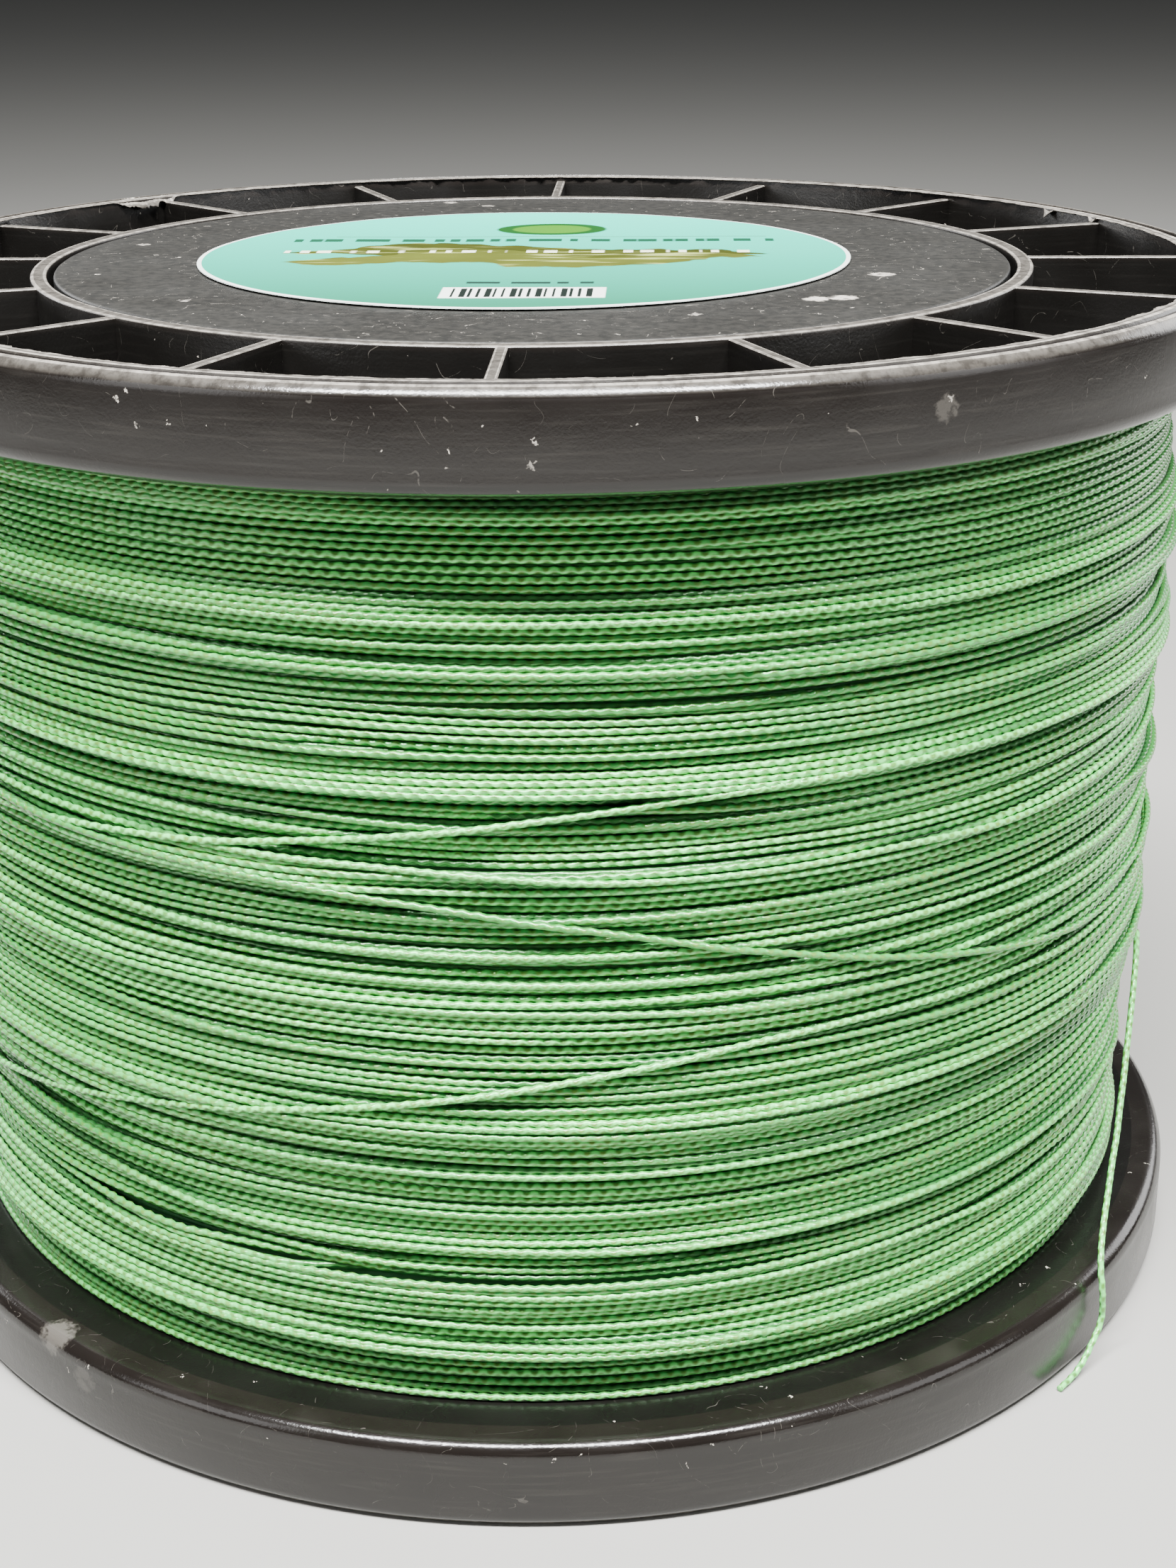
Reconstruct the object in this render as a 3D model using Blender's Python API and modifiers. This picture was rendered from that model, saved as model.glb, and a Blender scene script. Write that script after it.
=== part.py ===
"""Large flanged spool of braided fishing line, standing on its lower flange.

Origin: centre of the lower rim's resting face. +Z runs up the spool's axis.
All sizes are in metres.
"""
import math

import bmesh
import bpy
from mathutils import Matrix, Vector

# Spool as a whole
OVERALL_HEIGHT = 0.1480
FLANGE_RADIUS = 0.1000
CLEARANCE = 0.0003          # gap left between pieces that touch

# Flange moulding: rim, web, ribs and hub ring
RIM_HEIGHT = 0.0126
RIM_WALL = 0.0048
RIM_CHAMFER = 0.0014        # outer edge, on the side away from the line
LIP_ROUNDING = 0.0022       # outer edge, on the side of the line
WEB_THICKNESS = 0.0020
WEB_SCREW_LAND = 0.0095     # web left inside the circle of the screws
RIB_COUNT = 16
RIB_THICKNESS = 0.0019
RIB_DROP = 0.0008           # rib tops below the rim's top
HUB_RING_RADIUS = 0.0720
HUB_RING_WALL = 0.0023
HUB_RING_DROP = 0.0007      # ring's top below the rim's top

# Hub disc: a cap pressed into the hub ring
DISC_GROOVE = 0.0009        # open groove between the ring and the disc
DISC_DROP = 0.0008          # disc's face below the rim's top
DISC_PLATE = 0.0022
DISC_SKIRT_WALL = 0.0024
SOCKET_WALL = 0.0025
SOCKET_DEPTH = 0.0080

# Arbor tube on the axis
ARBOR_BORE_RADIUS = 0.0080
ARBOR_WALL = 0.0020

# Barrel under the line
BARREL_INSET = 0.0060       # barrel's surface inside the hub ring's
BARREL_WALL = 0.0025
BOSS_RADIUS = 0.0045
BOSS_SINK = 0.0005          # how far a boss runs into the barrel's wall

# Tapping screws
SCREW_COUNT = 4
SCREW_SHANK_RADIUS = 0.0016
SCREW_HEAD_RADIUS = 0.0036
SCREW_HEAD_HEIGHT = 0.0024
SCREW_LENGTH = 0.0160
SCREW_POINT = 0.0020

# Tape over the start of the line
TAPE_THICKNESS = 0.0003
TAPE_WIDTH = 0.0150
TAPE_LENGTH = 0.0400
TAPE_HEIGHT = 0.0400        # middle of the strip above the table

# Sticker
LABEL_RADIUS = 0.0474
LABEL_THICKNESS = 0.00025
LABEL_OFFSET_X = -0.0013

# Line
LINE_DIAMETER = 0.00094
PACK_RADIUS = 0.0932        # upper part of the pack
PACK_LOWER_RADIUS = 0.0910  # lower part, which is wound less full
PACK_EDGE_RADIUS = 0.0904   # at both faces of the flanges
PACK_EDGE = 0.0030          # height of the rounded ends
PACK_STEP_LOW = 0.0380      # the two parts meet between these heights
PACK_STEP_HIGH = 0.0540

# Faceting
RIM_STEPS = 64
BARREL_STEPS = 48
SCREW_STEPS = 12

# Route of the loose end, from the pack, over the lower lip, to the table
TAIL_POINTS = (
    (0.09180, -0.01780, 0.04800),
    (0.09110, -0.02200, 0.04640),
    (0.09030, -0.02580, 0.04410),
    (0.08960, -0.02880, 0.04180),
    (0.08890, -0.03160, 0.03910),
    (0.08810, -0.03470, 0.03620),
    (0.08730, -0.03790, 0.03330),
    (0.08640, -0.04120, 0.03030),
    (0.08560, -0.04430, 0.02750),
    (0.08460, -0.04740, 0.02460),
    (0.08370, -0.05050, 0.02170),
    (0.08280, -0.05350, 0.01880),
    (0.08210, -0.05640, 0.01610),
    (0.08180, -0.05880, 0.01370),
    (0.08200, -0.05990, 0.01130),
    (0.08220, -0.05980, 0.00890),
    (0.08230, -0.05960, 0.00680),
    (0.08180, -0.06040, 0.00520),
    (0.08070, -0.06190, 0.00360),
    (0.07950, -0.06350, 0.00210),
    (0.07810, -0.06520, 0.00100),
    (0.07640, -0.06720, 0.00060),
    (0.07530, -0.06850, 0.00055),
)
TAIL_SPACING = 0.0022


def clear_scene():
    """Remove whatever the file holds."""
    for old in list(bpy.data.objects):
        bpy.data.objects.remove(old, do_unlink=True)


def collection(name):
    """A new collection in the scene."""
    made = bpy.data.collections.new(name)
    bpy.context.scene.collection.children.link(made)
    return made


def material(name, color, roughness, metallic=0.0):
    """A plain Principled material."""
    made = bpy.data.materials.new(name)
    made.use_nodes = True
    shader = made.node_tree.nodes["Principled BSDF"]
    shader.inputs["Base Color"].default_value = (*color, 1.0)
    shader.inputs["Roughness"].default_value = roughness
    shader.inputs["Metallic"].default_value = metallic
    return made


def part_object(name, mesh, finish):
    """An object in the parts collection with its own material."""
    made = bpy.data.objects.new(name, mesh)
    made.data.materials.append(finish)
    parts.objects.link(made)
    return made


def tool_object(name, mesh, host):
    """A hidden object that cuts or joins its host, and moves with it."""
    made = bpy.data.objects.new(name, mesh)
    made.hide_render = True
    made.display_type = "WIRE"
    tools.objects.link(made)
    made.parent = host
    return made


def profile_mesh(name, outline, closed=True):
    """Edges through the outline's (radius, height) points, on the XZ plane."""
    mesh = bpy.data.meshes.new(name)
    points = [(radius, 0.0, height) for radius, height in outline]
    edges = [(i, i + 1) for i in range(len(points) - 1)]
    if closed:
        edges.append((len(points) - 1, 0))
    mesh.from_pydata(points, edges, [])
    return mesh


def turn(target, steps, angle=math.tau):
    """Turn the target's profile about its Z axis."""
    screw = target.modifiers.new("turned", "SCREW")
    screw.axis = "Z"
    screw.angle = angle
    screw.steps = steps
    screw.render_steps = steps
    screw.use_merge_vertices = True
    screw.merge_threshold = 0.00001
    screw.use_smooth_shade = True
    return screw


def arc(centre, radius, start, end, count):
    """Points on an arc of the profile, angles in degrees from +radius."""
    points = []
    for i in range(count + 1):
        angle = math.radians(start + (end - start) * i / count)
        points.append((centre[0] + radius * math.cos(angle), centre[1] + radius * math.sin(angle)))
    return points


def boolean(target, operand, operation):
    """Join the operand to the target or cut it away."""
    change = target.modifiers.new(operand.name, "BOOLEAN")
    change.operation = operation
    change.solver = "EXACT"
    change.object = operand


def cylinder_mesh(name, places, radius, low, high, steps):
    """Upright cylinders at the given (x, y) places, in one mesh."""
    mesh = bpy.data.meshes.new(name)
    work = bmesh.new()
    for x, y in places:
        made = bmesh.ops.create_cone(
            work, cap_ends=True, segments=steps, radius1=radius, radius2=radius, depth=high - low
        )
        bmesh.ops.translate(work, verts=made["verts"], vec=(x, y, (low + high) / 2))
    work.to_mesh(mesh)
    work.free()
    return mesh


def barrel_radius():
    """Outside of the barrel, in line with the hub rings."""
    return HUB_RING_RADIUS - BARREL_INSET


def screw_circle():
    """Radius of the circle of screws, inside the barrel's wall."""
    return barrel_radius() - BARREL_WALL + BOSS_SINK - BOSS_RADIUS


def screw_places():
    """(x, y) of the screws."""
    places = []
    for i in range(SCREW_COUNT):
        angle = math.tau * (i + 0.5) / SCREW_COUNT
        places.append((screw_circle() * math.cos(angle), screw_circle() * math.sin(angle)))
    return places


def place(target, top):
    """Put a piece made outwards from the line side at the top or bottom end."""
    if top:
        target.location.z = OVERALL_HEIGHT - RIM_HEIGHT
    else:
        target.location.z = RIM_HEIGHT
        target.rotation_euler.x = math.pi


def flange(name, top):
    """One moulding: rim, web, ribs and hub ring. Height 0 is its line side."""
    ring_top = RIM_HEIGHT - HUB_RING_DROP
    ring_inside = HUB_RING_RADIUS - HUB_RING_WALL
    web_bore = screw_circle() - WEB_SCREW_LAND
    outline = [
        (FLANGE_RADIUS - RIM_CHAMFER, RIM_HEIGHT),
        (FLANGE_RADIUS, RIM_HEIGHT - RIM_CHAMFER),
    ]
    outline += arc((FLANGE_RADIUS - LIP_ROUNDING, LIP_ROUNDING), LIP_ROUNDING, 0, -90, 2)
    outline += [
        (web_bore, 0.0),
        (web_bore, WEB_THICKNESS),
        (ring_inside, WEB_THICKNESS),
        (ring_inside, ring_top),
        (HUB_RING_RADIUS, ring_top),
        (HUB_RING_RADIUS, WEB_THICKNESS),
        (FLANGE_RADIUS - RIM_WALL, WEB_THICKNESS),
        (FLANGE_RADIUS - RIM_WALL, RIM_HEIGHT),
    ]
    made = part_object(name, profile_mesh(name, outline), black_abs)
    turn(made, RIM_STEPS)

    rib_mesh = bpy.data.meshes.new(name + "_ribs")
    work = bmesh.new()
    inner = HUB_RING_RADIUS - HUB_RING_WALL / 2
    outer = FLANGE_RADIUS - RIM_WALL / 2
    low = WEB_THICKNESS / 2
    high = RIM_HEIGHT - RIB_DROP
    for i in range(RIB_COUNT):
        bar = bmesh.ops.create_cube(work, size=1.0)
        bmesh.ops.scale(work, verts=bar["verts"], vec=(outer - inner, RIB_THICKNESS, high - low))
        bmesh.ops.translate(work, verts=bar["verts"], vec=((inner + outer) / 2, 0.0, (low + high) / 2))
        turned = Matrix.Rotation(math.tau * i / RIB_COUNT, 3, "Z")
        bmesh.ops.rotate(work, verts=bar["verts"], cent=(0, 0, 0), matrix=turned)
    work.to_mesh(rib_mesh)
    work.free()
    boolean(made, tool_object(name + "_ribs", rib_mesh, made), "UNION")

    holes = cylinder_mesh(
        name + "_screw_holes", screw_places(), SCREW_SHANK_RADIUS + CLEARANCE,
        -WEB_THICKNESS, 2 * WEB_THICKNESS, SCREW_STEPS,
    )
    boolean(made, tool_object(name + "_screw_holes", holes, made), "DIFFERENCE")
    place(made, top)
    return made


def hub_disc(name, top):
    """Cap that closes the hub ring and holds one end of the arbor tube."""
    face = RIM_HEIGHT - DISC_DROP
    under = face - DISC_PLATE
    radius = HUB_RING_RADIUS - HUB_RING_WALL - DISC_GROOVE
    socket_radius = ARBOR_BORE_RADIUS + ARBOR_WALL + CLEARANCE
    outline = [
        (radius, face),
        (radius, WEB_THICKNESS + CLEARANCE),
        (radius - DISC_SKIRT_WALL, WEB_THICKNESS + CLEARANCE),
        (radius - DISC_SKIRT_WALL, under),
        (socket_radius + SOCKET_WALL, under),
        (socket_radius + SOCKET_WALL, under - SOCKET_DEPTH),
        (socket_radius, under - SOCKET_DEPTH),
        (socket_radius, under),
        (ARBOR_BORE_RADIUS, under),
        (ARBOR_BORE_RADIUS, face),
    ]
    made = part_object(name, profile_mesh(name, outline), scuffed_abs)
    turn(made, BARREL_STEPS)
    place(made, top)
    return made


def arbor_tube():
    """Tube between the two hub discs. A spindle passes through it."""
    end = RIM_HEIGHT - DISC_DROP - DISC_PLATE
    low = RIM_HEIGHT - end + CLEARANCE
    high = OVERALL_HEIGHT - low
    outer = ARBOR_BORE_RADIUS + ARBOR_WALL
    outline = [(outer, high), (outer, low), (ARBOR_BORE_RADIUS, low), (ARBOR_BORE_RADIUS, high)]
    made = part_object("arbor_tube", profile_mesh("arbor_tube", outline), black_abs)
    turn(made, BARREL_STEPS // 2)
    return made


def barrel():
    """Drum that the line is wound on, with a boss for each screw."""
    low = RIM_HEIGHT + CLEARANCE
    high = OVERALL_HEIGHT - low
    outside = barrel_radius()
    inside = outside - BARREL_WALL
    outline = [(outside, high), (outside, low), (inside, low), (inside, high)]
    made = part_object("barrel", profile_mesh("barrel", outline), black_abs)
    turn(made, BARREL_STEPS)
    bosses = cylinder_mesh("barrel_bosses", screw_places(), BOSS_RADIUS, low, high, SCREW_STEPS)
    boolean(made, tool_object("barrel_bosses", bosses, made), "UNION")
    depth = SCREW_LENGTH - WEB_THICKNESS + CLEARANCE
    radius = SCREW_SHANK_RADIUS + CLEARANCE
    for end, start, stop in (("low", low - depth, low + depth), ("high", high - depth, high + depth)):
        holes = cylinder_mesh("barrel_holes_" + end, screw_places(), radius, start, stop, SCREW_STEPS)
        boolean(made, tool_object("barrel_holes_" + end, holes, made), "DIFFERENCE")
    return made


def tapping_screw(name, x, y, top):
    """Pan-head tapping screw through the web into a boss."""
    seat = WEB_THICKNESS + CLEARANCE
    tip = seat - SCREW_LENGTH
    outline = [
        (0.0, seat + SCREW_HEAD_HEIGHT),
        (SCREW_HEAD_RADIUS * 0.7, seat + SCREW_HEAD_HEIGHT),
        (SCREW_HEAD_RADIUS, seat + SCREW_HEAD_HEIGHT * 0.6),
        (SCREW_HEAD_RADIUS, seat),
        (SCREW_SHANK_RADIUS, seat),
        (SCREW_SHANK_RADIUS, tip + SCREW_POINT),
        (0.0, tip),
    ]
    made = part_object(name, profile_mesh(name, outline, closed=False), zinc_steel)
    turn(made, SCREW_STEPS)
    place(made, top)
    made.location.x = x
    made.location.y = y
    return made


def start_tape():
    """Strip of tape on the barrel, over the first turn of the line."""
    radius = barrel_radius() + CLEARANCE
    outline = [(radius, TAPE_HEIGHT + TAPE_WIDTH / 2), (radius, TAPE_HEIGHT - TAPE_WIDTH / 2)]
    made = part_object("start_tape", profile_mesh("start_tape", outline, closed=False), clear_tape)
    turn(made, SCREW_STEPS, TAPE_LENGTH / radius)
    skin = made.modifiers.new("thickness", "SOLIDIFY")
    skin.thickness = TAPE_THICKNESS
    skin.offset = 1.0
    return made


def line_pack():
    """Outer shape of the wound line, from one flange to the other."""
    low = RIM_HEIGHT + CLEARANCE
    high = OVERALL_HEIGHT - low
    inside = barrel_radius() + 2 * CLEARANCE + TAPE_THICKNESS
    outline = [
        (PACK_EDGE_RADIUS, high),
        (PACK_RADIUS, high - PACK_EDGE),
        (PACK_RADIUS, PACK_STEP_HIGH),
        (PACK_LOWER_RADIUS, PACK_STEP_LOW),
        (PACK_LOWER_RADIUS, low + PACK_EDGE),
        (PACK_EDGE_RADIUS, low),
        (inside, low),
        (inside, high),
    ]
    made = part_object("line_pack", profile_mesh("line_pack", outline), green_braid)
    turn(made, RIM_STEPS)
    return made


def label():
    """Round sticker on the top hub disc."""
    low = OVERALL_HEIGHT - DISC_DROP + CLEARANCE
    mesh = cylinder_mesh(
        "top_label", [(LABEL_OFFSET_X, 0.0)], LABEL_RADIUS, low, low + LABEL_THICKNESS, BARREL_STEPS
    )
    return part_object("top_label", mesh, label_paper)


def smooth_route(points, spacing):
    """Points a spacing apart on a smooth curve through the given ones."""
    fine = []
    last = len(points) - 1
    for i in range(last):
        before = Vector(points[max(i - 1, 0)])
        here = Vector(points[i])
        there = Vector(points[i + 1])
        after = Vector(points[min(i + 2, last)])
        for j in range(8):
            t = j / 8
            fine.append(
                0.5 * (2 * here + (there - before) * t
                       + (2 * before - 5 * here + 4 * there - after) * t * t
                       + (3 * here - 3 * there + after - before) * t * t * t)
            )
    fine.append(Vector(points[last]))
    route = [fine[0]]
    walked = 0.0
    for i in range(1, len(fine)):
        walked += (fine[i] - fine[i - 1]).length
        if walked >= spacing:
            route.append(fine[i])
            walked = 0.0
    route[-1] = fine[-1]
    return route


def line_tail():
    """Loose end of the line."""
    curve = bpy.data.curves.new("line_tail", "CURVE")
    curve.dimensions = "3D"
    curve.bevel_depth = LINE_DIAMETER / 2
    curve.bevel_resolution = 2
    curve.use_fill_caps = True
    route = smooth_route(TAIL_POINTS, TAIL_SPACING)
    spline = curve.splines.new("POLY")
    spline.points.add(len(route) - 1)
    for point, position in zip(spline.points, route):
        point.co = (*position, 1.0)
    return part_object("line_tail", curve, green_braid_tail)


clear_scene()
parts = collection("fishing_line_spool")
tools = collection("tools")

black_abs = material("black_abs", (0.014, 0.014, 0.013), 0.42)
scuffed_abs = material("scuffed_abs", (0.045, 0.045, 0.043), 0.6)
zinc_steel = material("zinc_steel", (0.55, 0.55, 0.56), 0.35, 1.0)
clear_tape = material("clear_tape", (0.70, 0.68, 0.60), 0.3)
green_braid = material("green_braid", (0.10, 0.36, 0.14), 0.5)
green_braid_tail = material("green_braid_tail", (0.14, 0.46, 0.20), 0.5)
label_paper = material("label_paper", (0.30, 0.66, 0.60), 0.4)

flange("bottom_flange", top=False)
flange("top_flange", top=True)
barrel()
arbor_tube()
hub_disc("bottom_hub_disc", top=False)
hub_disc("top_hub_disc", top=True)
for number, (spot_x, spot_y) in enumerate(screw_places(), start=1):
    tapping_screw(f"bottom_screw_{number}", spot_x, spot_y, top=False)
    tapping_screw(f"top_screw_{number}", spot_x, spot_y, top=True)
start_tape()
line_pack()
label()
line_tail()
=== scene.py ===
"""Large spool of green braided fishing line: looks, light and camera, in metres."""
import math

import bmesh
import bpy
import numpy as np
from mathutils import Matrix, Vector


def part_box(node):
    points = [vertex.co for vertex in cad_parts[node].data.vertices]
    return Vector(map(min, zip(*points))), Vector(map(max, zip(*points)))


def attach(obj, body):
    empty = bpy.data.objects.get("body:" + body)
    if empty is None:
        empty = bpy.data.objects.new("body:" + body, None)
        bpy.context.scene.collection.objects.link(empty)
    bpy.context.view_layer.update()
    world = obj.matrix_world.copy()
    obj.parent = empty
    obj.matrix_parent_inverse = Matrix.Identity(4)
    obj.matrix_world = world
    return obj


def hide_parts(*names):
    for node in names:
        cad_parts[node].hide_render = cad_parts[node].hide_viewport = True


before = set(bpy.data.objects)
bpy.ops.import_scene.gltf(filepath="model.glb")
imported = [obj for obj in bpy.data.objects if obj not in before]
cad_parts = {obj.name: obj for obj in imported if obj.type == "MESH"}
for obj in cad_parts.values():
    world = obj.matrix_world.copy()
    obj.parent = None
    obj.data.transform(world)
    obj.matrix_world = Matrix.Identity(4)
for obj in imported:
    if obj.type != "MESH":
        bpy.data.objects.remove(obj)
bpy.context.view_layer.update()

BODY = "root"


# ---- Flanges ---------------------------------------------------------------
# The two ends of the spool are one moulding each: rim, web, sixteen ribs and a
# hub ring. Black ABS straight from the mould, satin, with flash left along the
# rim and white stress marks where the rim and the rib tops rub and knock.
FLANGE_STEPS = 288
RIM_WALL = 0.0048
LIP_ROUNDING = 0.0022
WEB_THICKNESS = 0.0020
WEB_BORE = 0.0495
RIB_COUNT = 16
RIB_FOOT = 0.0019
RIB_TOP = 0.0015
RIB_DROP = 0.0008
RING_RADIUS = 0.0720
RING_WALL = 0.0023
RING_DROP = 0.0007
RIB_ROUNDING = 0.00015
FILLET = 0.0006
EDGE = 0.0003
# Crest of the rim: its groove, then the soft chamfer of the outside corner, as
# (in from the rim's outside, down from its face)
RIM_CREST = (
    (0.0032, 0.0), (0.0030, 0.0004), (0.0020, 0.0004), (0.0017, 0.00002),
    (0.00145, 0.00004), (0.00115, 0.00014), (0.00085, 0.00036), (0.00055, 0.00066),
    (0.00028, 0.00100), (0.00010, 0.00138), (0.0, 0.00190),
)
ABS_BLACK = "#120f0d"
ABS_STRESS_AND_HIGHLIGHT = "#a8a298"

flange_low, flange_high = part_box("top_flange")
spool_top = flange_high.z
flange_radius = flange_high.x
rim_height = flange_high.z - flange_low.z
middle = spool_top / 2


def linear(colour):
    """sRGB hex to linear RGBA."""
    values = [int(colour[i:i + 2], 16) / 255 for i in (1, 3, 5)]
    return [v / 12.92 if v <= 0.04045 else ((v + 0.055) / 1.055) ** 2.4 for v in values] + [1.0]


def feed(node, sockets):
    """Feed a node's inputs with plain values, other sockets, or nodes' first outputs."""
    for key, value in sockets.items():
        if isinstance(value, bpy.types.Node):
            value = next(output for output in value.outputs if output.enabled)
        if isinstance(value, bpy.types.NodeSocket):
            node.id_data.links.new(value, node.inputs[key])
        else:
            node.inputs[key].default_value = value


def add_node(tree, kind, sockets=None, **settings):
    """Add a shader node with its settings, and feed its inputs."""
    made = tree.nodes.new("ShaderNode" + kind)
    for setting, value in settings.items():
        setattr(made, setting, value)
    feed(made, sockets or {})
    return made


def start_material(name, **shader_values):
    """A material with its Principled shader's plain values set."""
    made = bpy.data.materials.new(name)
    made.use_nodes = True
    shader = made.node_tree.nodes["Principled BSDF"]
    feed(shader, {socket.replace("_", " "): value for socket, value in shader_values.items()})
    return made, made.node_tree, shader


def add_object(name, content):
    """Put a mesh, a light or the camera into the scene under its name."""
    made = bpy.data.objects.new(name, content)
    bpy.context.scene.collection.objects.link(made)
    return made


def arc(centre, radius, start, end, count):
    """(radius, height) points on an arc, angles in degrees from outwards."""
    angles = [math.radians(start + (end - start) * i / count) for i in range(count + 1)]
    return [(centre[0] + radius * math.cos(a), centre[1] + radius * math.sin(a)) for a in angles]


def turned(name, outline, steps):
    """Closed ring turned from a closed outline that runs down its outer side."""
    mesh = bpy.data.meshes.new(name)
    points = [(radius, 0.0, height) for radius, height in outline]
    edges = [(i, (i + 1) % len(points)) for i in range(len(points))]
    mesh.from_pydata(points, edges, [])
    made = add_object(name, mesh)
    screw = made.modifiers.new("turned", "SCREW")
    screw.axis = "Z"
    screw.steps = steps
    screw.render_steps = steps
    screw.use_merge_vertices = True
    screw.merge_threshold = 0.00001
    return made


def settle_mesh(target, angle=32):
    """Apply the modifiers and shade the mesh smooth, with sharp edges kept."""
    graph = bpy.context.evaluated_depsgraph_get()
    mesh = bpy.data.meshes.new_from_object(target.evaluated_get(graph))
    target.modifiers.clear()
    target.data = mesh
    mesh.shade_smooth()
    mesh.set_sharp_from_angle(angle=math.radians(angle))
    return target


def finish_piece(piece, material, slot, *nodes):
    """Give a piece its material and tie it to the spool."""
    piece.data.materials.clear()
    piece.data.materials.append(material)
    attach(piece, BODY)
    if nodes:
        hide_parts(*nodes)


def stand_at_end(made, top):
    """Move a piece made with its line side at height 0 to the top, or turn it over for the foot."""
    place = Matrix.Translation((0, 0, spool_top - rim_height))
    if not top:
        place = Matrix.Translation((0, 0, rim_height)) @ Matrix.Rotation(math.pi, 4, "X")
    made.data.transform(place)


def flange_outline():
    """Half section of the moulding. Height 0 is its line side."""
    outside = flange_radius
    inside = outside - RIM_WALL
    ring_top = rim_height - RING_DROP
    ring_inside = RING_RADIUS - RING_WALL
    points = [(inside + EDGE, rim_height)]
    points += [(outside - across, rim_height - down) for across, down in RIM_CREST]
    # A hair-deep line runs round the face, just above the rounding of the lip
    points += [(outside, LIP_ROUNDING + 0.0012), (outside - 0.00004, LIP_ROUNDING + 0.0008)]
    points += arc((outside - LIP_ROUNDING, LIP_ROUNDING), LIP_ROUNDING, 0, -90, 10)
    points += [(WEB_BORE, 0.0), (WEB_BORE, WEB_THICKNESS), (ring_inside, WEB_THICKNESS)]
    points += [(ring_inside, ring_top - EDGE)]
    points += arc((ring_inside + EDGE, ring_top - EDGE), EDGE, 180, 90, 3)[1:]
    points += arc((RING_RADIUS - EDGE, ring_top - EDGE), EDGE, 90, 0, 3)
    points += arc((RING_RADIUS + FILLET, WEB_THICKNESS + FILLET), FILLET, 180, 270, 4)
    points += arc((inside - FILLET, WEB_THICKNESS + FILLET), FILLET, 270, 360, 4)
    points += arc((inside + EDGE, rim_height - EDGE), EDGE, 180, 90, 3)[:-1]
    return points


def flange(name, slot_name, top):
    """The turned moulding with its ribs joined on."""
    made = turned(name, flange_outline(), FLANGE_STEPS)
    work = bmesh.new()
    inner = RING_RADIUS - RING_WALL / 2
    outer = flange_radius - RIM_WALL / 2
    low = WEB_THICKNESS / 2
    high = rim_height - RIB_DROP
    for i in range(RIB_COUNT):
        bar = bmesh.ops.create_cube(work, size=1.0)["verts"]
        bmesh.ops.scale(work, verts=bar, vec=(outer - inner, RIB_FOOT, high - low))
        crest = [v for v in bar if v.co.z > 0]
        bmesh.ops.scale(work, verts=crest, vec=(1, RIB_TOP / RIB_FOOT, 1))
        edges = [e for e in work.edges if e.verts[0] in crest and e.verts[1] in crest
                 and abs(e.verts[0].co.x - e.verts[1].co.x) > 0.001]
        rounded = bmesh.ops.bevel(work, geom=edges, offset=RIB_ROUNDING, segments=1, affect="EDGES")
        bar = list(set(v for v in bar if v.is_valid) | set(rounded["verts"]))
        bmesh.ops.translate(work, verts=bar, vec=((inner + outer) / 2, 0, (low + high) / 2))
        turn = Matrix.Rotation(math.tau * i / RIB_COUNT, 3, "Z")
        bmesh.ops.rotate(work, verts=bar, cent=(0, 0, 0), matrix=turn)
    rib_mesh = bpy.data.meshes.new(name + "_ribs")
    work.to_mesh(rib_mesh)
    work.free()
    ribs = add_object(name + "_ribs", rib_mesh)
    join = made.modifiers.new("ribs", "BOOLEAN")
    join.operation = "UNION"
    join.object = ribs
    settle_mesh(made)
    bpy.data.objects.remove(ribs)
    stand_at_end(made, top)
    finish_piece(made, moulded_abs, "black_abs", slot_name)


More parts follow.
